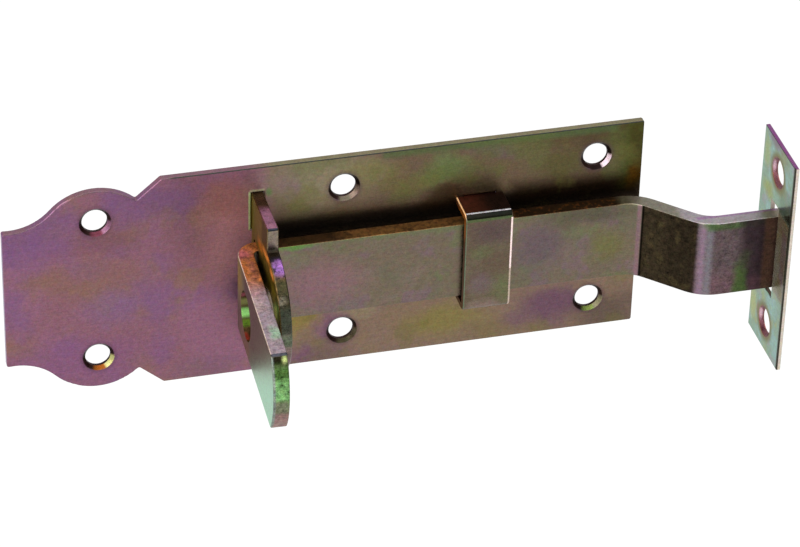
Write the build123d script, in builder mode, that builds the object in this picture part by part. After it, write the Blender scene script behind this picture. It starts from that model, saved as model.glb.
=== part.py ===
from build123d import *
import math
import os

# A padlockable cranked slide bolt in plated sheet steel, fixed to the face of a door.
# X runs along the bolt towards the strike, Z is up, and the front faces -Y.
# The origin is the middle of the base plate's back face, which lies on the door at Y = 0.
# "Out" is the distance in front of the door, so out is -Y.
# The bolt is drawn shut, with its tongue through the strike plate.

# Base plate
plate_length = 140.0
plate_width = 52.0
plate_thickness = 1.5
plate_corner_round = 0.5
plate_edge_round = 0.3

# Ornamental end of the base plate: square end, hollow neck, round lobe, notch
end_width = 34.0
neck_in = 10.4
lobe_centre_in = 19.8
lobe_radius = 12.7
lobe_tip_height = 24.9
valley_in = 28.6
notch_end_in = 34.0

# Screw holes, countersunk from the front
screw_hole_radius = 2.75
countersink_radius = 3.5
countersink_angle = 90
lobe_hole_height = 17.2
row_hole_height = 18.5
row_pitch = 56.0
row_end_margin = 10.5

# Sliding bolt: one flat bar bent into handle, run, crank and tongue, with the radii inside its bends
bar_height = 18.5
bar_thickness = 3.5
bar_standoff = 2.6
bar_edge_round = 0.3
handle_bend_radius = 1.5
crank_bend_radius = 6.5
crank_start = 67.0
crank_offset = 12.0
crank_angle = 45
tongue_end = 97.5
tongue_corner_radius = 1.5

# Handle: the bar's end, bent up a little short of square, so that it tilts away from the staple
handle_gap = 1.1
handle_tilt = 2.3
handle_reach = 48.5
handle_end_radius = 15.3
handle_corner_radius = 1.0

# The handle and the staple have like padlock holes, in line when the bolt is shut
padlock_out = 17.8
padlock_hole_radius = 5.5

# Lock staple: a stout plate that stands on the base plate and lets the bar through
staple_left = -16.6
staple_thickness = 2.5
staple_height = 39.4
staple_shoulder_out = 15.8
staple_eye_out = 14.5
staple_eye_radius = 14.2
staple_corner_round = 0.6
staple_edge_break = 0.2
staple_tenon_length = 9.0
run_clearance = 0.5

# Guide strap: a bridge folded from sheet, which holds the bar to the plate
strap_left = 28.4
strap_width = 10.5
strap_thickness = 1.5
strap_bend_inner = 0.3
strap_edge_round = 0.3
strap_side_clearance = 1.55
strap_front_clearance = 0.6
strap_tenon_width = 7.0

# Riveted feet: tenons through the base plate, spread at the back
slot_clearance = 0.1
slot_rim_round = 0.5
rivet_spread = 0.4

# Strike plate: stands on the door frame and takes the tongue in its slot
tongue_past_strike = 1.4
strike_thickness = 1.0
strike_height = 52.0
strike_depth = 18.6
strike_slot_height = 23.0
strike_slot_clearance = 0.75
strike_hole_height = 19.3
strike_edge_round = 0.15

# Distances out from the door
plate_front = plate_thickness
bar_back = plate_front + bar_standoff
bar_front = bar_back + bar_thickness
bar_middle_out = (bar_back + bar_front) / 2
tongue_front = bar_front + crank_offset
tongue_middle_out = bar_middle_out + crank_offset
strap_outer_out = bar_front + strap_front_clearance + strap_thickness

# Places along the bolt
plate_left = -plate_length / 2
plate_right = plate_length / 2
lobe_centre = plate_left + lobe_centre_in
row_right = plate_right - row_end_margin
row_left = row_right - row_pitch
staple_right = staple_left + staple_thickness
staple_middle = (staple_left + staple_right) / 2
handle_root = staple_left - handle_gap
handle_end = handle_root - (handle_reach - bar_front) * math.tan(math.radians(handle_tilt))
strap_right = strap_left + strap_width
strap_middle = (strap_left + strap_right) / 2
crank_end = crank_start + crank_offset / math.tan(math.radians(crank_angle))
strike_left = tongue_end - tongue_past_strike - strike_thickness

# Heights from the middle line
bar_top = bar_height / 2
staple_tenon_middle = (staple_height - staple_tenon_length) / 2
strap_outer_half = bar_top + strap_side_clearance + strap_thickness
strap_wall_middle = strap_outer_half - strap_thickness / 2

# Seen from the front: local x is X, local y is Z, and extruding goes out
front_view = Plane.XZ


def standing_plane(x):
    """A plane square to the bar at x: local x is out, local y is Z, and its normal is -X."""
    return Plane(origin=(x, 0, 0), x_dir=(0, -1, 0), z_dir=(-1, 0, 0))


def foot_sections(plane, width, height, x, z):
    """The sections of a pair of feet, one each side of the middle line."""
    with BuildSketch(plane) as sections:
        with Locations((x, z), (x, -z)):
            Rectangle(width, height)
    return sections.sketch


def riveted_feet(width, height, x, z):
    """Two tenons through the base plate, spread at its back like closed rivets."""
    spread_plane = front_view.offset(rivet_spread)
    extrude(foot_sections(front_view, width, height, x, z), amount=plate_front)
    extrude(foot_sections(spread_plane, width, height, x, z), amount=-rivet_spread, taper=-45)


def folded_strip(path, thickness):
    """The section of a strip folded along a path; its other face lies to the path's left."""
    with BuildSketch() as section:
        with BuildLine():
            add(path)
            offset(amount=thickness, side=Side.LEFT, closed=True)
        make_face()
    return section.sketch


# Base plate
lobe_rise = lobe_tip_height - lobe_radius


def lobe_edge(distance_in):
    """Height of the lobe's round edge, at a distance from the plate's square end."""
    return lobe_rise + math.sqrt(lobe_radius**2 - (distance_in - lobe_centre_in) ** 2)


neck_slope = (lobe_centre_in - neck_in) / (lobe_edge(neck_in) - lobe_rise)

with BuildPart() as base_plate:
    with BuildSketch(front_view):
        with BuildLine():
            end_corner = Vector(plate_left, end_width / 2)
            neck = Vector(plate_left + neck_in, lobe_edge(neck_in))
            lobe_tip = Vector(lobe_centre, lobe_tip_height)
            valley = Vector(plate_left + valley_in, lobe_edge(valley_in))
            shoulder = Vector(plate_left + notch_end_in, plate_width / 2)
            right_corner = Vector(plate_right, plate_width / 2)
            Line((plate_left, 0), end_corner)
            TangentArc(neck, end_corner, tangent=(-1, -neck_slope))
            ThreePointArc(neck, lobe_tip, valley)
            Polyline(valley, shoulder, right_corner, (plate_right, 0))
            mirror(about=Plane.XZ)
        make_face()
        sharp = [end_corner, valley, shoulder, right_corner]
        sharp += [Vector(p.X, -p.Y) for p in sharp]
        corners = [v for v in vertices() if min((Vector(v) - p).length for p in sharp) < 0.01]
        fillet(corners, plate_corner_round)
    extrude(amount=plate_thickness)
    fillet(faces().sort_by(Axis.Y)[0].outer_wire().edges(), plate_edge_round)

    wider = 2 * slot_clearance
    staple_slots = foot_sections(
        front_view,
        staple_thickness + wider,
        staple_tenon_length + wider,
        staple_middle,
        staple_tenon_middle,
    )
    strap_slots = foot_sections(
        front_view,
        strap_tenon_width + wider,
        strap_thickness + wider,
        strap_middle,
        strap_wall_middle,
    )
    extrude(staple_slots + strap_slots, amount=plate_thickness, mode=Mode.SUBTRACT)
    front_slots = faces().sort_by(Axis.Y)[0].inner_wires()
    fillet([e for slot in front_slots for e in slot.edges()], slot_rim_round)
    back_slots = faces().sort_by(Axis.Y)[-1].inner_wires()
    chamfer([e for slot in back_slots for e in slot.edges()], rivet_spread)

    with Locations(front_view.offset(plate_front)):
        with Locations(
            (lobe_centre, lobe_hole_height),
            (lobe_centre, -lobe_hole_height),
            (row_left, row_hole_height),
            (row_left, -row_hole_height),
            (row_right, row_hole_height),
            (row_right, -row_hole_height),
        ):
            CounterSinkHole(
                screw_hole_radius,
                countersink_radius,
                plate_thickness,
                counter_sink_angle=countersink_angle,
            )


# Lock staple, with the bar's slot near its foot and the padlock hole in its round eye
with BuildPart() as lock_staple:
    with BuildSketch(standing_plane(staple_right)):
        with Locations(((plate_front + staple_shoulder_out) / 2, 0)):
            Rectangle(staple_shoulder_out - plate_front, staple_height)
        with Locations((staple_eye_out, 0)):
            Circle(staple_eye_radius)
        with Locations((plate_front / 2, 0)):
            Rectangle(plate_front, staple_height, mode=Mode.SUBTRACT)
        shoulder_corners = [v for v in vertices() if abs(v.X - staple_shoulder_out) < 0.01]
        fillet(shoulder_corners, staple_corner_round)
        with Locations((bar_middle_out, 0)):
            Rectangle(
                bar_thickness + 2 * run_clearance,
                bar_height + 2 * run_clearance,
                mode=Mode.SUBTRACT,
            )
        with Locations((padlock_out, 0)):
            Circle(padlock_hole_radius, mode=Mode.SUBTRACT)
    extrude(amount=staple_thickness)
    left_outline = faces().sort_by(Axis.X)[0].outer_wire().edges()
    right_outline = faces().sort_by(Axis.X)[-1].outer_wire().edges()
    edges_off_plate = (left_outline + right_outline).filter_by(
        lambda e: -(e @ 0.5).Y > plate_front + staple_edge_break
    )
    chamfer(edges_off_plate, staple_edge_break)
    riveted_feet(staple_thickness, staple_tenon_length, staple_middle, staple_tenon_middle)


# Guide strap, folded over the bar
with BuildPart() as guide_strap:
    with BuildLine(mode=Mode.PRIVATE) as strap_path:
        FilletPolyline(
            (plate_front, -strap_outer_half),
            (strap_outer_out, -strap_outer_half),
            (strap_outer_out, strap_outer_half),
            (plate_front, strap_outer_half),
            radius=strap_bend_inner + strap_thickness,
        )
    with BuildSketch(standing_plane(strap_right)):
        add(folded_strip(strap_path.line, strap_thickness))
    extrude(amount=strap_width)
    front_middle_out = strap_outer_out - strap_thickness / 2
    side_edges = faces().sort_by(Axis.X)[0].edges() + faces().sort_by(Axis.X)[-1].edges()
    outer_edges = side_edges.filter_by(
        lambda e: abs((e @ 0.5).Z) > strap_wall_middle or -(e @ 0.5).Y > front_middle_out
    )
    fillet(outer_edges, strap_edge_round)
    riveted_feet(strap_tenon_width, strap_thickness, strap_middle, strap_wall_middle)


# Handle's inner face: local x is the distance along the handle, and local z points away from the staple
tilt_sine = math.sin(math.radians(handle_tilt))
tilt_cosine = math.cos(math.radians(handle_tilt))
handle_face = Plane(
    origin=(handle_root, -bar_front, 0),
    x_dir=(-tilt_sine, -tilt_cosine, 0),
    z_dir=(-tilt_cosine, tilt_sine, 0),
)
handle_length = (handle_reach - bar_front) / tilt_cosine
handle_arc_centre = handle_length - handle_end_radius
padlock_along = (padlock_out - bar_front + tilt_sine * bar_thickness / 2) / tilt_cosine


def is_padlock_hole(face):
    """Whether a face is the wall of the handle's padlock hole."""
    return abs(face.radius - padlock_hole_radius) < 0.01


# Sliding bolt: one bar folded into handle, run, crank and tongue
with BuildPart() as sliding_bolt:
    with BuildLine(mode=Mode.PRIVATE) as bar_path:
        FilletPolyline(
            (handle_end, -handle_reach),
            (handle_root, -bar_front),
            (crank_start, -bar_front),
            (crank_end, -tongue_front),
            (tongue_end, -tongue_front),
            radius=[handle_bend_radius, crank_bend_radius, crank_bend_radius + bar_thickness],
        )
    with BuildSketch():
        add(folded_strip(bar_path.line, bar_thickness))
    extrude(amount=bar_top, both=True)
    with BuildSketch(handle_face):
        with Locations((handle_length, 0)):
            Rectangle(2 * handle_end_radius, 2 * bar_height)
        with Locations((handle_arc_centre, 0)):
            Circle(handle_end_radius, mode=Mode.SUBTRACT)
        with Locations((padlock_along, 0)):
            Circle(padlock_hole_radius)
    extrude(amount=2 * bar_thickness, both=True, mode=Mode.SUBTRACT)
    handle_corners = edges().filter_by(Axis((0, 0, 0), tuple(handle_face.z_dir))).sort_by(Axis.Y)[:2]
    fillet(handle_corners, handle_corner_radius)
    tongue_corners = edges().filter_by(Axis.Y).group_by(Axis.X)[-1]
    fillet(tongue_corners, tongue_corner_radius)
    padlock_hole = faces().filter_by(GeomType.CYLINDER).filter_by(is_padlock_hole)
    hole_rims = [e for face in padlock_hole for e in face.edges()]
    fillet([e for e in edges() if e not in hole_rims], bar_edge_round)


# Strike plate, with its slot round the tongue
with BuildPart() as strike_plate:
    with BuildSketch(standing_plane(strike_left)):
        with Locations((tongue_middle_out, 0)):
            Rectangle(strike_depth, strike_height)
    extrude(amount=-strike_thickness)
    fillet(edges() - edges().filter_by(Axis.X), strike_edge_round)
    with BuildSketch(standing_plane(strike_left)):
        with Locations((tongue_middle_out, 0)):
            Rectangle(bar_thickness + 2 * strike_slot_clearance, strike_slot_height)
    extrude(amount=-strike_thickness, mode=Mode.SUBTRACT)
    with Locations(standing_plane(strike_left)):
        with Locations(
            (tongue_middle_out, strike_hole_height), (tongue_middle_out, -strike_hole_height)
        ):
            CounterSinkHole(
                screw_hole_radius,
                countersink_radius,
                strike_thickness,
                counter_sink_angle=countersink_angle,
            )


os.makedirs("parts", exist_ok=True)
pieces = {
    "base_plate": base_plate,
    "lock_staple": lock_staple,
    "guide_strap": guide_strap,
    "sliding_bolt": sliding_bolt,
    "strike_plate": strike_plate,
}
for name, piece in pieces.items():
    piece.part.label = name
    export_step(piece.part, f"parts/{name}.step")
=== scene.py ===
import bpy
from mathutils import Matrix, Vector

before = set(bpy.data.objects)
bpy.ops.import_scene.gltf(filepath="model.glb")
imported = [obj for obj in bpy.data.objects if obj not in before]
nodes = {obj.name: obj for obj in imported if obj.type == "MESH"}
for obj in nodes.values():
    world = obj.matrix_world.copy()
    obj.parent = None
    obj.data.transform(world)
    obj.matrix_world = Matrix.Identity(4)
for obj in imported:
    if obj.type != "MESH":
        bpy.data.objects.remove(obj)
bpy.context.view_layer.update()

print("loaded:", ", ".join(sorted(nodes)))

# Camera: where the photo was taken from, fitted to the plate's outline and holes, in metres and millimetres
shot = {
    "place": (-0.16843, -0.65828, 0.45755),
    "right": (0.9666, -0.2552, 0.0237),
    "up": (0.1244, 0.5482, 0.8270),
    "lens": 171.45,
    "sensor": 36.0,
}


def makeCamera(spec):
    data = bpy.data.cameras.new("camera")
    data.lens = spec["lens"]
    data.sensor_width = spec["sensor"]
    data.clip_start = 0.01
    data.clip_end = 20
    right = Vector(spec["right"]).normalized()
    back = right.cross(Vector(spec["up"])).normalized()
    up = back.cross(right)
    turn = Matrix((right, up, back)).transposed().to_4x4()
    camera = bpy.data.objects.new("camera", data)
    camera.matrix_world = Matrix.Translation(spec["place"]) @ turn
    bpy.context.scene.collection.objects.link(camera)
    bpy.context.scene.camera = camera


makeCamera(shot)
print("camera placed")


# A hex colour as linear RGBA
def linear(hexColour):
    parts = [int(hexColour[i:i + 2], 16) / 255 for i in (0, 2, 4)]
    return [c / 12.92 if c < 0.04045 else ((c + 0.055) / 1.055) ** 2.4 for c in parts] + [1]


# Links a socket to another, or sets its value
def plug(tree, socket, value):
    if isinstance(value, bpy.types.NodeSocket):
        tree.links.new(value, socket)
    else:
        socket.default_value = value


def sums(tree, operation, a, b=0.0):
    node = tree.nodes.new("ShaderNodeMath")
    node.operation = operation
    plug(tree, node.inputs[0], a)
    plug(tree, node.inputs[1], b)
    return node.outputs[0]


def vectorSums(tree, operation, a, b=(0, 0, 0)):
    node = tree.nodes.new("ShaderNodeVectorMath")
    node.operation = operation
    plug(tree, node.inputs[0], a)
    plug(tree, node.inputs[1], b)
    oneNumber = operation in ("LENGTH", "DOT_PRODUCT")
    return node.outputs["Value" if oneNumber else "Vector"]


def ramped(tree, value, low, high, start=0.0, end=1.0):
    node = tree.nodes.new("ShaderNodeMapRange")
    node.interpolation_type = "SMOOTHSTEP"
    names = ("Value", "From Min", "From Max", "To Min", "To Max")
    for name, number in zip(names, (value, low, high, start, end)):
        plug(tree, node.inputs[name], number)
    return node.outputs["Result"]


def mixed(tree, factor, a, b, blend="MIX"):
    node = tree.nodes.new("ShaderNodeMix")
    node.data_type = "RGBA"
    node.blend_type = blend
    plug(tree, node.inputs[0], factor)
    plug(tree, node.inputs[6], a)
    plug(tree, node.inputs[7], b)
    return node.outputs[2]


# A number that goes from a to b
def stepped(tree, factor, a, b):
    return sums(tree, "ADD", a, sums(tree, "MULTIPLY", factor, sums(tree, "SUBTRACT", b, a)))


# A noise whose blobs are about size millimetres, one size for each axis or one for all
def noise(tree, mm, size, shift=0.0, detail=2.0, roughness=0.5, output="Fac"):
    sizes = size if isinstance(size, tuple) else (size, size, size)
    moved = vectorSums(tree, "ADD", mm, (shift, shift * 0.7, shift * 1.3))
    node = tree.nodes.new("ShaderNodeTexNoise")
    plug(tree, node.inputs["Vector"], vectorSums(tree, "DIVIDE", moved, sizes))
    node.inputs["Scale"].default_value = 1.0
    node.inputs["Detail"].default_value = detail
    node.inputs["Roughness"].default_value = roughness
    return node.outputs[output]


mmPerMetre = 1000.0

# Distance between the noises of two layers, and of each kind of grain from the layers
cloudShift = 37.0
grainShift = {"speck": 50, "streak": 60, "mottle": 65, "tint": 70, "wave": 80}


# How much of a layer, plating film or painted light and shade, shows at a point: 0 to its amount
def layerMask(tree, mm, warped, normal, layer, seed):
    parts = []
    if "at" in layer:
        spot = mm if layer.get("firm") else warped
        away = vectorSums(tree, "DIVIDE", vectorSums(tree, "SUBTRACT", spot, layer["at"]), layer["reach"])
        core = layer.get("core", 0.2)
        parts.append(ramped(tree, vectorSums(tree, "LENGTH", away), core, 1.0, start=1.0, end=0.0))
    if "within" in layer:
        low, high = (Vector(p) for p in layer["within"])
        soft = layer.get("soft", 0.4)
        away = vectorSums(tree, "ABSOLUTE", vectorSums(tree, "SUBTRACT", mm, tuple((low + high) / 2)))
        away = vectorSums(tree, "SUBTRACT", away, tuple((high - low) / 2))
        split = tree.nodes.new("ShaderNodeSeparateXYZ")
        plug(tree, split.inputs[0], away)
        sideways, outwards, upwards = split.outputs
        past = sums(tree, "MAXIMUM", sums(tree, "MAXIMUM", sideways, outwards), upwards)
        parts.append(ramped(tree, past, -soft / 2, soft / 2, start=1.0, end=0.0))
    if "facing" in layer:
        low, high = layer.get("turn", (0.6, 0.85))
        parts.append(ramped(tree, vectorSums(tree, "DOT_PRODUCT", normal, layer["facing"]), low, high))
    if "beyond" in layer:
        direction, low, high = layer["beyond"]
        parts.append(ramped(tree, vectorSums(tree, "DOT_PRODUCT", mm, direction), low, high))
    if "clouds" in layer:
        low, high = layer.get("cover", (0.45, 0.62))
        parts.append(ramped(tree, noise(tree, mm, layer["clouds"], seed * cloudShift, 3.0, 0.55), low, high))
    mask = layer["amount"]
    for part in parts:
        mask = sums(tree, "MULTIPLY", mask, part)
    return mask


# Brightness of the grain: specks and brushed streaks, with a coarse mottle where the grit is high
def grainShade(tree, mm, spec, grit, speck, streak):
    fine = sums(tree, "ADD", sums(tree, "MULTIPLY", sums(tree, "SUBTRACT", speck, 0.5), spec["speckAmount"]),
                sums(tree, "MULTIPLY", sums(tree, "SUBTRACT", streak, 0.5), spec["streakAmount"]))
    mottle = noise(tree, mm, spec["mottle"], spec["seed"] + grainShift["mottle"], 2.0, 0.6)
    mottle = sums(tree, "MULTIPLY", sums(tree, "SUBTRACT", mottle, 0.5),
                  sums(tree, "SUBTRACT", grit, spec["mottleFrom"]))
    grain = sums(tree, "ADD", sums(tree, "MULTIPLY", fine, grit), mottle)
    return sums(tree, "MULTIPLY", sums(tree, "ADD", grain, 1.0), spec["depth"])


# Plated steel: layers of film colour and of painted light and shade over a ground colour, with grain, sheen
# and a slight relief
def makePlating(name, spec):
    material = bpy.data.materials.new(name)
    material.use_nodes = True
    tree = material.node_tree
    shader = tree.nodes["Principled BSDF"]
    seed = spec["seed"]
    place = tree.nodes.new("ShaderNodeTexCoord")
    mm = vectorSums(tree, "MULTIPLY", place.outputs["Object"], (mmPerMetre,) * 3)
    drift = noise(tree, mm, spec["wanderSize"], seed, 3.0, 0.6, "Color")
    drift = vectorSums(tree, "SUBTRACT", drift, (0.5, 0.5, 0.5))
    warped = vectorSums(tree, "ADD", mm, vectorSums(tree, "MULTIPLY", drift, (spec["wander"],) * 3))

    colour = linear(spec["ground"])
    matt = spec["matt"]
    grit = 1.0
    for i, layer in enumerate(spec["layers"]):
        mask = layerMask(tree, mm, warped, place.outputs["Normal"], layer, seed + i)
        colour = mixed(tree, mask, colour, linear(layer["colour"]))
        if "matt" in layer:
            matt = stepped(tree, mask, matt, layer["matt"])
        if "grit" in layer:
            grit = stepped(tree, mask, grit, layer["grit"])

    speck = noise(tree, mm, spec["speck"], seed + grainShift["speck"], 2.0, 0.7)
    streak = noise(tree, mm, spec["streak"], seed + grainShift["streak"], 2.0, 0.6)
    tint = noise(tree, mm, spec["tint"], seed + grainShift["tint"], 1.0, 0.5, "Color")
    colour = mixed(tree, spec["tintAmount"], colour, tint, "OVERLAY")
    shaded = vectorSums(tree, "SCALE", colour)
    plug(tree, shaded.node.inputs["Scale"], grainShade(tree, mm, spec, grit, speck, streak))
    plug(tree, shader.inputs["Base Color"], shaded)

    plug(tree, shader.inputs["Metallic"], sums(tree, "SUBTRACT", 1.0, matt))
    shader.inputs["Specular IOR Level"].default_value = spec["specular"]
    shader.inputs["Specular Tint"].default_value = (*spec["edgeTint"], 1)
    coarse = sums(tree, "ADD", speck, sums(tree, "MULTIPLY", streak, 0.5))
    rough = ramped(tree, coarse, *spec["polishFrom"], *spec["polish"])
    rough = sums(tree, "ADD", rough, sums(tree, "MULTIPLY", matt, spec["mattRoughness"]))
    plug(tree, shader.inputs["Roughness"], rough)

    bump = tree.nodes.new("ShaderNodeBump")
    bump.inputs["Strength"].default_value = spec["relief"]
    bump.inputs["Distance"].default_value = spec["reliefHeight"]
    waves = noise(tree, mm, spec["wave"], seed + grainShift["wave"], 2.0, 0.5)
    height = sums(tree, "ADD", speck, streak)
    height = sums(tree, "ADD", height, sums(tree, "MULTIPLY", waves, spec["waveAmount"]))
    plug(tree, bump.inputs["Height"], height)
    plug(tree, shader.inputs["Normal"], bump.outputs["Normal"])
    return material


def dress(node, material):
    mesh = nodes[node].data
    mesh.materials.clear()
    mesh.materials.append(material)


# What all pieces share. Sizes are in millimetres, and a size for each axis gives streaks.
finish = {
    # Blobs wander off their round outline by this much, in waves of this size
    "wander": 9.0, "wanderSize": 8.0,
    # Grain: size and strength of the specks, the brushed streaks, the tint and the coarse mottle.
    # The mottle shows only where the grit is above mottleFrom.
    "speck": 0.30, "speckAmount": 0.80,
    "streak": (2.6, 2.6, 0.22), "streakAmount": 0.40,
    "tint": 0.75, "tintAmount": 0.16,
    "mottle": 1.1, "mottleFrom": 0.7,
    # Sheen: roughness from the finest specks to the coarsest, what a matt film adds, and reflectance
    "polish": (0.26, 0.38), "polishFrom": (0.45, 1.05), "mattRoughness": 0.25,
    "specular": 0.2, "edgeTint": (0.8, 0.8, 0.8),
    # Relief of the bump, and the slow waves in the sheet
    "relief": 0.22, "reliefHeight": 0.00003, "wave": 2.2, "waveAmount": 2.0,
    "depth": 0.92, "matt": 0.0,
}

# Directions that a face can look in. A turn of square takes only faces that look straight that way.
left, right, front, back, up = (-1, 0, 0), (1, 0, 0), (0, -1, 0), (0, 1, 0), (0, 0, 1)
upFront, upLeft, leftFront = (0, -0.707, 0.707), (-0.707, 0, 0.707), (-0.707, -0.707, 0)
square = (0.85, 0.95)


# One layer, of plating film or of painted light and shade: its colour, how much of it, and where, in
# millimetres.
# at and reach: a soft blob, kept round by firm, solid as far as core
# within and soft: a box and the width of its fading border
# facing and turn: a direction that the face looks in, and how closely
# beyond: one side of a slanting plane
# clouds and cover: a noise of that size, and the values over which it comes in
# matt: how little the layer shines there, grit: how strong its grain is
def filmAndLight(colour, amount, **where):
    return dict(where, colour=colour, amount=amount)


# Base plate: mauve at the left, olive above the bar and tan to plum below it
basePlate = dict(finish, seed=3, ground="8a606c", polish=(0.34, 0.46), layers=[
    filmAndLight("8f6378", 0.8, clouds=19.0),
    filmAndLight("7f5a80", 0.6, clouds=13.0, cover=(0.48, 0.64)),
    filmAndLight("8a6b4c", 0.5, clouds=10.0, cover=(0.50, 0.64)),
    filmAndLight("7a557c", 0.7, at=(-64, -1.5, 16), reach=(16, 9, 12)),
    filmAndLight("76537a", 0.6, at=(-40, -1.5, 21), reach=(13, 9, 8)),
    filmAndLight("7c5560", 0.7, at=(-48, -1.5, 12), reach=(11, 9, 6)),
    filmAndLight("84664f", 0.5, at=(-62, -1.5, 4), reach=(7, 9, 5)),
    filmAndLight("80628a", 0.5, at=(-46, -1.5, -4), reach=(11, 9, 7)),
    filmAndLight("85597c", 0.7, at=(-54, -1.5, -18), reach=(24, 9, 11)),
    filmAndLight("8a6658", 0.5, at=(-50, -1.5, 3), reach=(18, 9, 7)),
    # Painted light: a brighter, matt patch left of the staple that cancels the staple's and handle's
    # reflected shade
    filmAndLight("94666a", 0.9, at=(-20, -1.5, 10), reach=(12, 9, 22), matt=0.6),
    filmAndLight("8a5c56", 0.7, at=(-21, -1.5, 19), reach=(9, 9, 8)),
    filmAndLight("7c5b6e", 0.6, at=(-27, -1.5, -24), reach=(10, 9, 6)),
    # Right of the staple: olive above the bar, tan and plum below it
    filmAndLight("685b41", 0.96, within=((-12.5, -3, 2), (90, 1, 40)), soft=5),
    filmAndLight("827058", 0.9, within=((-13.5, -3, -40), (90, 1, 2)), soft=5),
    filmAndLight("8b7e68", 0.95, at=(-2, -1.5, 21.5), reach=(20, 9, 10.5)),
    filmAndLight("846a70", 0.6, at=(-9, -1.5, 20), reach=(4, 9, 6)),
    filmAndLight("68764a", 0.8, at=(26, -1.5, 20), reach=(8, 9, 5)),
    filmAndLight("7a7446", 0.6, at=(8, -1.5, 21), reach=(12, 9, 5)),
    filmAndLight("6a5562", 0.5, at=(36, -1.5, 24), reach=(8, 9, 4)),
    filmAndLight("4b4029", 0.7, at=(62, -1.5, 24), reach=(22, 9, 8)),
    filmAndLight("55552c", 0.6, at=(52, -1.5, 17), reach=(10, 9, 5)),
    # Painted reflection and shade: a near-black band just above the bar, where the plate mirrors the bar's
    # shaded back, wider at the right and at x 25
    filmAndLight("120e10", 0.8, within=((-12, -3, 8), (69, 1, 12.0)), soft=2.4),
    filmAndLight("2a1a0c", 0.7, within=((41, -3, 8), (69, 1, 14.0)), soft=4),
    filmAndLight("30200f", 0.7, at=(25, -1.5, 13), reach=(7, 9, 5)),
    filmAndLight("46471c", 0.85, within=((65.5, -3, 10), (72, 1, 30)), soft=5),
    filmAndLight("6a4410", 0.8, at=(68.5, -1.5, 13), reach=(2.6, 9, 5)),
    filmAndLight("526640", 0.7, within=((12, -3, 24.4), (64, 1, 27)), soft=1.6),
    filmAndLight("8f7c46", 0.9, at=(-7, -1.5, -14), reach=(8, 9, 6)),
    filmAndLight("8f8268", 0.7, at=(7, -1.5, -13), reach=(7, 9, 5)),
    filmAndLight("74506a", 0.8, at=(-3, -1.5, -25), reach=(13, 9, 5)),
    filmAndLight("7b5570", 0.7, at=(1, -1.5, -18), reach=(5, 9, 8)),
    filmAndLight("827743", 0.8, at=(27, -1.5, -19), reach=(14, 9, 6)),
    filmAndLight("7b6c48", 0.7, at=(37, -1.5, -24), reach=(12, 9, 5)),
    filmAndLight("745668", 0.6, at=(42, -1.5, -22.5), reach=(6, 9, 4)),
    filmAndLight("6c4e60", 0.9, at=(51, -1.5, -19), reach=(11, 9, 8)),
    filmAndLight("64544c", 0.9, at=(64, -1.5, -23), reach=(12, 9, 9)),
    filmAndLight("77704a", 0.7, at=(67, -1.5, -12), reach=(5, 9, 5)),
    filmAndLight("5d6a36", 0.5, clouds=12.0, cover=(0.5, 0.62), within=((-8, -3, 13), (90, 1, 40)), soft=6),
    filmAndLight("6f6a3a", 0.5, clouds=9.0, cover=(0.55, 0.68), within=((-12, -3, -40), (90, 1, 40)), soft=6),
    # Rims: a painted dark reflection along the top edge's rounding, painted highlights on the top and left
    # edges, and a painted pale green highlight round the staple's seat
    filmAndLight("5e4a50", 0.9, facing=upFront, turn=(0.84, 0.95), matt=0.2),
    filmAndLight("30342e", 0.95, facing=upFront, turn=(0.78, 0.92), within=((-34, -3, 24), (80, 1, 28)), soft=2,
         matt=0.3),
    filmAndLight("7c5c66", 0.95, facing=up, turn=(0.9, 0.98), matt=0.2),
    filmAndLight("7c7a54", 0.95, facing=up, turn=(0.9, 0.98), within=((-14, -3, 24), (80, 1, 28)), soft=8,
         matt=0.2),
    filmAndLight("a99ab0", 0.9, facing=left, turn=(0.85, 0.96), matt=0.3),
    # Painted highlight: pale green on the rim round the staple's seat
    filmAndLight("a0b07c", 0.95, within=((-17.3, -1.9, 10.6), (-16.75, -1, 20.2)), soft=0.3, matt=0.7),
    filmAndLight("9a9474", 0.9, within=((-17.0, -1.9, 20.0), (-13.8, -1, 20.6)), soft=0.4, matt=0.6),
    filmAndLight("5f7a4a", 0.8, at=(-12.9, -1.5, 19.6), reach=(1.1, 4, 1.6), firm=True),
    # Back face
    filmAndLight("86626a", 0.96, facing=back, turn=square),
    filmAndLight("7d6b52", 0.6, clouds=16.0, facing=back, turn=square),
    filmAndLight("76597c", 0.5, clouds=11.0, cover=(0.5, 0.64), facing=back, turn=square),
])
# Screw holes: a faint halo, a countersink darkened with painted shade, then painted light and shade on its
# lower side and a painted highlight on its right side.
# Each hole: x, z, colour of the painted highlight on the right side, colour of the painted light and shade on
# the lower side, how matt the right side is.
for x, z, rightHighlight, lowerLightAndShade, matt in (
    (-50.2, 17.2, "7e566c", "5a2c38", 0.2), (-50.2, -17.2, "b4b074", "7c4414", 0.3),
    (3.5, 18.5, "746257", "5e5648", 0.2), (3.5, -18.5, "5c5440", "403c2a", 0.1),
    (59.5, 18.5, "dcc4cc", "140c0a", 0.6), (59.5, -18.5, "7c745a", "727f42", 0.3),
):
    box = ((x - 5, -2, z - 5), (x + 5, 0, z + 5))
    basePlate["layers"] += [
        filmAndLight("4f3648", 0.4, at=(x, -1.5, z), reach=(4.6, 2, 4.6), core=0.72, firm=True),
        # Painted shade in the countersink, then painted light on its lower and right sides
        filmAndLight("281712", 0.95, within=((x - 4, -1.38, z - 4), (x + 4, -0.06, z + 4)), soft=0.1, grit=1.4),
        filmAndLight(lowerLightAndShade, 0.9, within=box, facing=(-0.1, -0.707, 0.7), turn=(0.9, 0.98), matt=matt / 4),
        filmAndLight(rightHighlight, 0.95, within=box, facing=(-0.6, -0.707, 0.37), turn=(0.9, 0.97), matt=matt),
    ]

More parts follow.
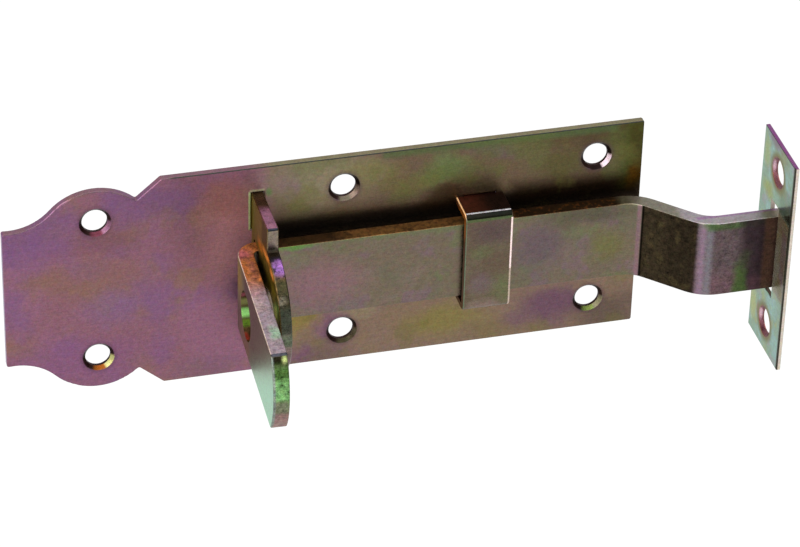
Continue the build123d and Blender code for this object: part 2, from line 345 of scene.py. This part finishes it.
# Lock staple: olive gold, with a brown to pink top edge and a grey-green round edge
lockStaple = dict(finish, seed=5, ground="5f4c1e", polish=(0.16, 0.28), wander=2.0, wanderSize=3.0, layers=[
    # Edge faces: brown to pink above, grey shoulder, then plum, black and grey-green round the eye; the black
    # includes a band of painted dark reflection
    filmAndLight("44301f", 0.95, facing=up, matt=0.3, grit=2.2),
    filmAndLight("8a5c72", 0.9, facing=up, within=((-20, -16.5, 17), (-10, -7.5, 22)), soft=3, matt=0.4, grit=2.2),
    filmAndLight("83776a", 0.95, facing=front, grit=1.6),
    filmAndLight("17202a", 0.95, facing=upFront, turn=(0.8, 0.92), within=((-20, -17, 18), (-10, -14, 21)),
         soft=0.5),
    filmAndLight("1e1810", 0.95, within=((-20, -18.6, 12.8), (-10, -15.6, 14.8)), soft=0.8, matt=0.2),
    filmAndLight("82569a", 0.8, at=(-14.9, -20.2, 13.0), reach=(3, 3.2, 3.0), matt=0.6, grit=3.2),
    filmAndLight("1c1620", 0.85, clouds=1.3, cover=(0.52, 0.6), within=((-20, -22.8, 11), (-10, -17.4, 14.6)),
         soft=1),
    # Painted reflection: a dark band on the eye's round edge, where it mirrors a dark room in front
    filmAndLight("2c2a18", 0.95, within=((-20, -28.2, 4), (-10, -22.6, 12.2)), soft=1.4, matt=0.2, grit=3.0),
    filmAndLight("7c7363", 0.8, at=(-16.0, -25.9, 8.4), reach=(1.6, 1.2, 1.6), matt=0.3),
    filmAndLight("414539", 0.95, within=((-20, -29.5, 1.5), (-10, -26.4, 7)), soft=1.5, matt=0.2, grit=2.4),
    filmAndLight("5a6250", 0.95, within=((-20, -29.5, -1.6), (-10, -26.4, 1.5)), soft=1.5, matt=0.2, grit=2.2),
    filmAndLight("6e5d58", 0.95, within=((-20, -29.5, -14), (-10, -17, -1.8)), soft=1.5, matt=0.2, grit=2.2),
    filmAndLight("8c7048", 0.7, facing=left, turn=(0.6, 0.68), within=((-20, -30, -15), (-10, -15, 13)), soft=1,
         matt=0.4),
    # Left face: olive gold, darker towards the top, with painted light and shade from the handle beside it: a
    # painted shadow in the gap, orange, gold and brown painted reflections along its rim, and a painted
    # yellow-green glint near the front
    filmAndLight("6c5818", 0.98, facing=left, turn=square, matt=0.45),
    filmAndLight("7a6030", 0.5, clouds=5.0, facing=left, turn=square, matt=0.45),
    filmAndLight("3c2e12", 0.85, facing=left, turn=square, within=((-18, -17, 13.5), (-16, -11, 22)), soft=3),
    # Painted shadow in the gap between the handle and the staple
    filmAndLight("120e08", 0.9, facing=left, turn=square, at=(-16.6, -11.5, 6.8), reach=(3, 7.5, 3.6), firm=True),
    # Painted reflections of the handle: orange, gold and brown along the rim, and a yellow-green glint
    filmAndLight("a8641c", 0.95, facing=left, turn=square, at=(-16.6, -9.5, 11.6), reach=(3, 3.6, 2.2), matt=0.7),
    filmAndLight("e0883a", 0.95, facing=left, turn=square, at=(-16.6, -15, 12.7), reach=(3, 4.6, 1.5), matt=0.8),
    filmAndLight("e08a40", 0.95, facing=left, turn=square, at=(-16.6, -20.2, 11.4), reach=(3, 3, 1.4), matt=0.8),
    filmAndLight("9c8420", 0.9, facing=left, turn=square, at=(-16.6, -21.4, 7.2), reach=(3, 2.6, 2.8), matt=0.7),
    filmAndLight("f8ff8c", 1.0, facing=left, turn=square, at=(-16.6, -24.0, 4.6), reach=(3, 2.0, 3.0), firm=True,
         matt=1.0),
    filmAndLight("7a5220", 0.9, facing=left, turn=square, at=(-16.6, -25.5, -1.5), reach=(3, 4, 3.2), matt=0.6),
    filmAndLight("6e6038", 0.98, facing=right, turn=square),
    filmAndLight("80604e", 0.8, clouds=9.0, facing=right, turn=square),
    filmAndLight("7e5c62", 0.95, facing=back),
])

# Guide strap: taupe front, with painted bright and black reflection bands along its bend
guideStrap = dict(finish, seed=7, ground="665849", polish=(0.2, 0.32), wander=3.0, wanderSize=3.0, layers=[
    filmAndLight("6c6150", 0.8, clouds=5.0),
    filmAndLight("5a4a4a", 0.8, at=(35, -9.7, 8), reach=(8, 4, 5)),
    filmAndLight("627046", 0.4, at=(32, -9.7, 3), reach=(4, 4, 3)),
    filmAndLight("6d7a50", 0.45, at=(37, -9.7, -7), reach=(4, 4, 6)),
    filmAndLight("74606a", 0.5, at=(32, -9.7, -5), reach=(4, 4, 4)),
    filmAndLight("8a766e", 0.7, at=(33, -9.7, -11.5), reach=(6, 4, 2.6)),
    # Top wall, the bend with its painted bright and black reflection bands, and the side edges, with painted
    # highlights on the upper left rounding and the right edge
    filmAndLight("4a1e12", 0.95, facing=up, matt=0.3, grit=2.0),
    filmAndLight("110c0c", 0.9, facing=up, within=((33, -12, 10), (42, 0, 16)), soft=6, matt=0.2),
    # Painted reflections: green, black and bright bands across the top bend
    filmAndLight("5a6844", 0.9, facing=(0, -0.927, 0.375), turn=(0.97, 0.992)),
    filmAndLight("0b0f0a", 0.96, facing=(0, -0.64, 0.77), turn=(0.91, 0.955)),
    filmAndLight("b8b8bc", 0.9, facing=(0, -0.208, 0.978), turn=(0.992, 0.998), matt=0.6),
    filmAndLight("5e3218", 0.95, facing=left, turn=(0.75, 0.95), matt=0.4),
    filmAndLight("b06420", 0.9, facing=left, turn=(0.75, 0.95), within=((28, -12, 7), (29, -4, 13)), soft=4,
         matt=0.6),
    filmAndLight("6a5646", 0.9, facing=left, within=((28, -12, -14), (29, -4, 2)), soft=6, matt=0.4),
    filmAndLight("66745e", 0.9, facing=leftFront, turn=(0.8, 0.94), matt=0.3),
    # Painted highlight on the upper left rounding
    filmAndLight("ffc890", 0.95, facing=upLeft, turn=(0.8, 0.94), matt=0.8),
    # Painted highlight: a pale line down the right edge
    filmAndLight("b8a494", 1.0, within=((38.42, -10, -12.4), (39.2, -8.0, 11.0)), soft=0.15, matt=0.8),
    filmAndLight("f4dcd8", 1.0, within=((38.42, -10, -2), (39.2, -8.0, 11.0)), soft=0.15, matt=0.9),
    filmAndLight("7e5c62", 0.95, facing=back),
])

# Sliding bolt: taupe run, crank darkened by a painted dark reflection, plum tongue, mint handle
slidingBolt = dict(finish, seed=9, ground="736757", wander=5.0, wanderSize=6.0, layers=[
    filmAndLight("7b6c62", 0.8, clouds=11.0),
    filmAndLight("6a6654", 0.6, clouds=8.0, cover=(0.5, 0.64)),
    filmAndLight("6c7450", 0.5, clouds=6.0, cover=(0.54, 0.66)),
    filmAndLight("7c6270", 0.5, clouds=7.0, cover=(0.54, 0.66)),
    filmAndLight("87666c", 0.85, at=(-3, -7.6, -1), reach=(15, 4, 9)),
    filmAndLight("559a36", 0.9, at=(-9, -7.6, 9.6), reach=(7, 4, 2.0)),
    filmAndLight("6a7050", 0.8, at=(22, -7.6, 9.5), reach=(60, 4, 2)),
    filmAndLight("665560", 0.7, at=(46, -7.6, 1), reach=(9, 4, 9)),
    filmAndLight("6e6d3e", 0.65, at=(61, -7.6, -1), reach=(7, 4, 6)),
    filmAndLight("565340", 0.8, at=(57, -7.6, 8), reach=(15, 4, 4)),
    filmAndLight("8a6a74", 0.7, within=((67.3, -10, -12), (68.1, -7, 12)), soft=0.5),
    # Back and edges
    filmAndLight("3a2a18", 0.9, facing=back),
    filmAndLight("6a4722", 0.95, facing=up, matt=0.4, grit=2.2),
    # Painted shade: a darker top edge at the right of the run and beside the staple, where it mirrors the
    # plate's dark band
    filmAndLight("1a120c", 0.9, facing=up, within=((40, -12, 8), (66, 0, 10)), soft=2, matt=0.2, grit=1.5),
    filmAndLight("26190f", 0.85, facing=up, within=((-14, -12, 7), (2, 2, 12)), soft=7, matt=0.3, grit=2.0),
    filmAndLight("2a1b10", 0.6, clouds=1.0, cover=(0.5, 0.6), facing=up, within=((-2, -12, 8), (29, 0, 10)),
         soft=2),
    filmAndLight("7c4c24", 0.55, clouds=0.8, cover=(0.55, 0.64), facing=up, within=((38, -12, 8), (64, 0, 10)),
         soft=3),
    # Crank and tongue: the crank darkened by a painted dark reflection, a painted shade line in its crease,
    # and painted light bands on the bend to the tongue
    # Painted dark reflection over the whole crank
    filmAndLight("332b1e", 0.99, within=((68.3, -22, -12), (78.0, 0, 12)), soft=0.4, grit=2.6),
    filmAndLight("231c14", 0.6, within=((73, -22, -12), (78.2, -12, 12)), soft=3),
    filmAndLight("4c422a", 0.4, clouds=3.0, cover=(0.52, 0.66), within=((69, -22, -12), (77.5, 0, 12)), soft=1),
    # Painted shade: a dark line in the crease between run and crank
    filmAndLight("0c0a06", 0.95, within=((68.15, -10, -12), (68.55, -7.4, 12)), soft=0.25),
    filmAndLight("5c4e50", 0.97, within=((78.0, -22, -12), (99, -12, 12)), soft=1.2, grit=2.0),
    filmAndLight("6d5258", 0.7, within=((79, -22, -12), (90, -12, -3)), soft=5),
    # Painted reflection: light bands on the bend from crank to tongue
    filmAndLight("8f7788", 0.9, within=((78.2, -22, -12), (79.6, -12, 12)), soft=1.4, grit=0.9),
    filmAndLight("7e7a80", 0.8, within=((79.6, -22, -12), (81.0, -12, 12)), soft=1.4, grit=0.9),
    filmAndLight("657a52", 0.8, at=(79.3, -19.6, 9), reach=(3.5, 4, 2)),
    filmAndLight("3f5a2c", 0.7, within=((80, -22, 7.6), (93, -16, 9.2)), soft=1.2),
    filmAndLight("32262a", 0.9, within=((87.4, -22, -12), (93.4, -12, 12)), soft=3, grit=1.6),
    filmAndLight("465a30", 0.9, at=(87.8, -19.6, -7), reach=(3.0, 6, 10)),
    filmAndLight("50383e", 0.8, at=(92, -19.6, -7.5), reach=(3.5, 6, 3.4)),
    filmAndLight("4e3629", 0.9, within=((92.6, -22, -12), (99, -18, 12)), soft=1.2, matt=0.3),
    filmAndLight("9a9296", 0.95, facing=up, within=((66, -22, 8), (99, -3, 10)), soft=2, matt=0.2, grit=1.2),
    filmAndLight("6c6852", 0.9, facing=up, within=((64, -16, 8), (75, -3, 10)), soft=3, matt=0.2),
    filmAndLight("6a6446", 0.8, facing=up, within=((92.5, -22, 8), (99, -3, 10)), soft=3, matt=0.2),
    filmAndLight("8d6690", 0.7, within=((78, -17.0, 8.9), (96, -15.9, 10)), soft=0.7, matt=0.2),
    # Wall of the handle's padlock hole, with painted light inside: a bright green reflection with olive, pink
    # and red round it
    filmAndLight("4a381e", 0.95, within=((-24, -23.4, -5.6), (-16, -12.2, 5.6)), soft=0.05, facing=(0, -0.6, 0.8),
         turn=(-0.4, -0.2), matt=0.4),
    filmAndLight("96485a", 0.8, at=(-21, -12.6, 2.2), reach=(1.4, 1.5, 1.2), firm=True, matt=0.6),
    filmAndLight("7c7c48", 0.9, at=(-20.6, -12.3, 0), reach=(6, 1.5, 1.4), firm=True, matt=0.7),
    filmAndLight("8ccc70", 1.0, at=(-20.6, -12.9, -2.4), reach=(6, 1.8, 1.5), firm=True, matt=0.9),
    filmAndLight("58781c", 0.9, at=(-20.8, -14.2, -4.2), reach=(6, 1.4, 1.2), firm=True, matt=0.7),
    filmAndLight("982c20", 0.9, at=(-21.3, -17.6, -5.5), reach=(0.9, 2.2, 1.0), firm=True, matt=0.7),
    # Handle: mint left face, gilt root, orange to pale violet top, dark, green and pink end. Painted light: a
    # warm reflection of the plate on the upper left face, a pale highlight along the top's left edge, a
    # highlight and a dark reflection at the end's top corner.
    filmAndLight("a2dab6", 0.95, facing=left, within=((-26, -60, -12), (-17, -4, 12)), soft=1, matt=0.0),
    filmAndLight("7f8468", 0.92, facing=right, within=((-26, -60, -12), (-17, -7, 12)), soft=2, matt=0.0),
    filmAndLight("8c7a6e", 0.7, clouds=9.0, facing=right, within=((-26, -60, -12), (-17, -7, 12)), soft=2),
    # Painted reflection: the plate's warm reflection on the upper part of the left face
    filmAndLight("8c7e5c", 0.85, facing=left, beyond=((0, 0.7, 1), -32, -20),
         within=((-26, -60, -12), (-17, -3, 12))),
    filmAndLight("94783c", 0.9, facing=left, at=(-20, -9, 5), reach=(6, 10, 9), matt=0.5),
    filmAndLight("94694a", 0.7, facing=left, at=(-21, -17, -7), reach=(6, 9, 7), matt=0.2),
    filmAndLight("c4743c", 0.95, facing=up, within=((-26, -19, 8), (-15, -3, 10)), soft=6, matt=0.7, grit=3.0),
    filmAndLight("a85868", 0.7, facing=up, at=(-20, -8, 9.25), reach=(4, 3.5, 3), matt=0.7),
    filmAndLight("a698a6", 0.95, facing=up, within=((-26, -60, 8), (-17, -22, 10)), soft=6, matt=0.3),
    filmAndLight("93b596", 0.8, facing=up, at=(-20, -37.5, 9.2), reach=(2.2, 4, 2), matt=0.3),
    filmAndLight("c89088", 0.5, facing=up, at=(-21, -21, 9.25), reach=(4, 5, 3), matt=0.5),
    filmAndLight("925c50", 0.7, facing=up, at=(-19, -14.5, 9.25), reach=(1.6, 7, 2), matt=0.5),
    filmAndLight("643c38", 0.6, facing=up, clouds=0.9, cover=(0.52, 0.62), within=((-26, -22, 8), (-15, -3, 10)),
         soft=5),
    filmAndLight("b49c98", 0.7, facing=up, at=(-21.4, -27.5, 9.25), reach=(3, 5, 2), matt=0.5),
    filmAndLight("1e1c0e", 0.97, facing=front, within=((-26, -52, 7.0), (-17, -40, 12)), soft=1.6, grit=2.4),
    filmAndLight("4e7236", 0.97, facing=front, within=((-26, -52, 3.0), (-17, -40, 7.2)), soft=2.2, grit=3.0),
    filmAndLight("80b470", 0.97, facing=front, within=((-26, -52, -0.6), (-17, -40, 4.4)), soft=2.0, grit=3.0),
    filmAndLight("767a60", 0.97, facing=front, within=((-26, -52, -4.2), (-17, -40, -1.0)), soft=1.6, grit=2.4),
    filmAndLight("92746e", 0.97, facing=front, within=((-26, -52, -12), (-17, -40, -4.0)), soft=1.6, grit=2.0),
    filmAndLight("5a7c48", 0.7, facing=front, at=(-19.6, -47.5, 1.5), reach=(1.6, 4, 5)),
    # Painted highlight at the end's top right corner
    filmAndLight("b4c07c", 0.9, facing=front, at=(-20.0, -45.9, 8.3), reach=(0.9, 2, 1.4), firm=True, matt=0.4),
    filmAndLight("34491f", 0.4, facing=front, clouds=2.2, cover=(0.54, 0.64),
         within=((-26, -52, -3), (-17, -40, 6)), soft=2),
    filmAndLight("788078", 0.95, within=((-23.8, -49.5, -12), (-22.3, -45.4, 8.8)), soft=0.4,
         facing=(-0.6, -0.8, 0), turn=(0.6, 0.75), matt=0.4),
    # Painted highlight: a pale line along the top's left edge
    filmAndLight("e8d2c0", 0.7, facing=upLeft, turn=(0.9, 0.97), within=((-26, -60, 8), (-17, -7, 10)), soft=1,
         matt=0.6),
    # Painted dark reflection along the end's top front edge
    filmAndLight("1c2630", 0.9, within=((-26, -45.75, 8.9), (-17, -44.95, 9.4)), soft=0.2),
])

# Strike plate: pale mint, brown round its slot and holes, with a magenta top edge and a painted highlight on
# its front edge beside a painted dark line
strikePlate = dict(finish, seed=11, ground="86a58f", polish=(0.14, 0.24), wander=2.4, wanderSize=3.0, layers=[
    filmAndLight("8fb5ae", 0.8, clouds=5.0),
    filmAndLight("a58fa0", 0.4, clouds=4.0, cover=(0.55, 0.68)),
    filmAndLight("9ba46a", 0.6, clouds=5.0, cover=(0.52, 0.66)),
    filmAndLight("97a24c", 0.8, at=(95.1, -13, 12.5), reach=(3, 5, 3)),
    filmAndLight("8ba04e", 0.7, at=(95.1, -11, -12.5), reach=(3, 5, 3)),
    filmAndLight("586e54", 0.9, facing=left, within=((94, -28, 7), (95.3, -20.6, 18)), soft=3.6),
    filmAndLight("828a66", 0.8, at=(95.1, -21, 24.8), reach=(3, 5, 4)),
    filmAndLight("aab474", 0.9, at=(95.1, -10.5, -19), reach=(3, 3.5, 6)),
    filmAndLight("a0ae68", 0.7, at=(95.1, -11, 20), reach=(3, 3.0, 5)),
    filmAndLight("8f7353", 0.8, at=(95.1, -13.6, -18.5), reach=(3, 1.5, 3), firm=True),
    filmAndLight("74446a", 0.6, at=(95.1, -15, 25.5), reach=(3, 6, 2)),
    filmAndLight("7c4618", 0.97, facing=left, within=((94, -30, -8.8), (95.3, -18, 10.8)), soft=3, matt=0.65),
    filmAndLight("5c3850", 0.7, facing=left, within=((94, -26, -6), (95.3, -23.6, 8)), soft=1.6, matt=0.5),
    filmAndLight("5f5a30", 0.8, facing=left, at=(95.1, -24.2, -6.4), reach=(3, 3.2, 3)),
    filmAndLight("4a3024", 0.95, within=((95.25, -22, -13), (96, -13, 13)), soft=0.1, matt=0.4),
    filmAndLight("7c3e78", 0.95, within=((95.2, -40, 25.6), (96.05, 0, 27)), soft=0.1, matt=0.3),
    filmAndLight("3a2a36", 0.9, facing=upLeft, turn=(0.8, 0.92), matt=0.4),
    # Painted highlight on the front edge face, with a painted dark line where it meets the left face
    filmAndLight("c8bcae", 1.0, facing=front, turn=(0.75, 0.95), matt=0.6),
    filmAndLight("2c2c20", 1.0, within=((94.8, -28, -27), (95.42, -26.55, 27)), soft=0.2, matt=0.5),
])
# Screw holes: a yellow halo, a brown rim, the countersink and its highlight
for z in (19.3, -19.3):
    strikePlate["layers"] += [
        filmAndLight("6c6624", 0.9, at=(95.1, -17.85, z), reach=(3, 5.5, 5.5), core=0.68, firm=True),
        filmAndLight("7a4a34", 0.85, at=(95.1, -17.85, z), reach=(3, 3.9, 3.9), core=0.88, firm=True),
        filmAndLight("70444c", 0.95, within=((95.2, -22, z - 4), (96, -14, z + 4)), soft=0.1, matt=0.3),
        filmAndLight("d8b4c0", 0.8, at=(95.4, -14.8, z + 0.4), reach=(0.6, 0.9, 2.4), firm=True, matt=0.6),
    ]

for node, name, spec in (
    ("base_plate", "plate plating", basePlate),
    ("lock_staple", "staple plating", lockStaple),
    ("guide_strap", "strap plating", guideStrap),
    ("sliding_bolt", "bar plating", slidingBolt),
    ("strike_plate", "strike plating", strikePlate),
):
    dress(node, makePlating(name, spec))
    print("dressed:", node)

# Studio: pale floor, white surround, soft lamps
studio = {
    "floorHeight": -0.2, "floorHalf": 3.0, "floorGrey": 0.85,
    # Seen directly, the floor glows by this share and strength, so that it shows white
    "glow": 0.6, "glowStrength": 1.05,
    # The sky's light on the part. Seen directly, it is 1.
    "skyLight": 0.6,
}


# 1 for what is seen directly or in a mirror, 0 for light that falls on a surface
def seenRay(tree):
    path = tree.nodes.new("ShaderNodeLightPath")
    seen = sums(tree, "MAXIMUM", path.outputs["Is Camera Ray"], path.outputs["Is Glossy Ray"])
    return sums(tree, "MAXIMUM", seen, path.outputs["Is Transmission Ray"])


def makeStudio(spec):
    half = spec["floorHalf"]
    height = spec["floorHeight"]
    corners = [(x * half, y * half, height) for x, y in ((-1, -1), (1, -1), (1, 1), (-1, 1))]
    mesh = bpy.data.meshes.new("floor")
    mesh.from_pydata(corners, [], [(0, 1, 2, 3)])
    floor = bpy.data.objects.new("floor", mesh)
    bpy.context.scene.collection.objects.link(floor)
    material = bpy.data.materials.new("pale floor")
    material.use_nodes = True
    tree = material.node_tree
    tree.nodes.clear()
    matt = tree.nodes.new("ShaderNodeBsdfDiffuse")
    matt.inputs["Color"].default_value = [spec["floorGrey"]] * 3 + [1]
    glow = tree.nodes.new("ShaderNodeEmission")
    glow.inputs["Strength"].default_value = spec["glowStrength"]
    blend = tree.nodes.new("ShaderNodeMixShader")
    plug(tree, blend.inputs[0], sums(tree, "MULTIPLY", seenRay(tree), spec["glow"]))
    plug(tree, blend.inputs[1], matt.outputs[0])
    plug(tree, blend.inputs[2], glow.outputs[0])
    out = tree.nodes.new("ShaderNodeOutputMaterial")
    plug(tree, out.inputs["Surface"], blend.outputs[0])
    mesh.materials.append(material)

    world = bpy.data.worlds.new("surround")
    world.use_nodes = True
    tree = world.node_tree
    sky = tree.nodes["Background"]
    plug(tree, sky.inputs["Strength"], ramped(tree, seenRay(tree), 0.0, 1.0, spec["skyLight"], 1.0))
    sky.inputs["Color"].default_value = (1, 1, 1, 1)
    bpy.context.scene.world = world


makeStudio(studio)

# Square lamps aimed at the origin: place and size in metres, power in watts
lamps = {
    "key": {"place": (-0.85, -0.75, 0.65), "size": 1.1, "power": 14.0},
    "overhead": {"place": (0.2, -0.3, 1.3), "size": 1.4, "power": 14.0},
}
for name, spec in lamps.items():
    data = bpy.data.lights.new(name, "AREA")
    data.size = spec["size"]
    data.energy = spec["power"]
    lamp = bpy.data.objects.new(name, data)
    lamp.location = spec["place"]
    lamp.rotation_euler = (-Vector(spec["place"])).to_track_quat("-Z", "Y").to_euler()
    bpy.context.scene.collection.objects.link(lamp)
print("studio lit")

bpy.context.scene.view_settings.view_transform = "Standard"
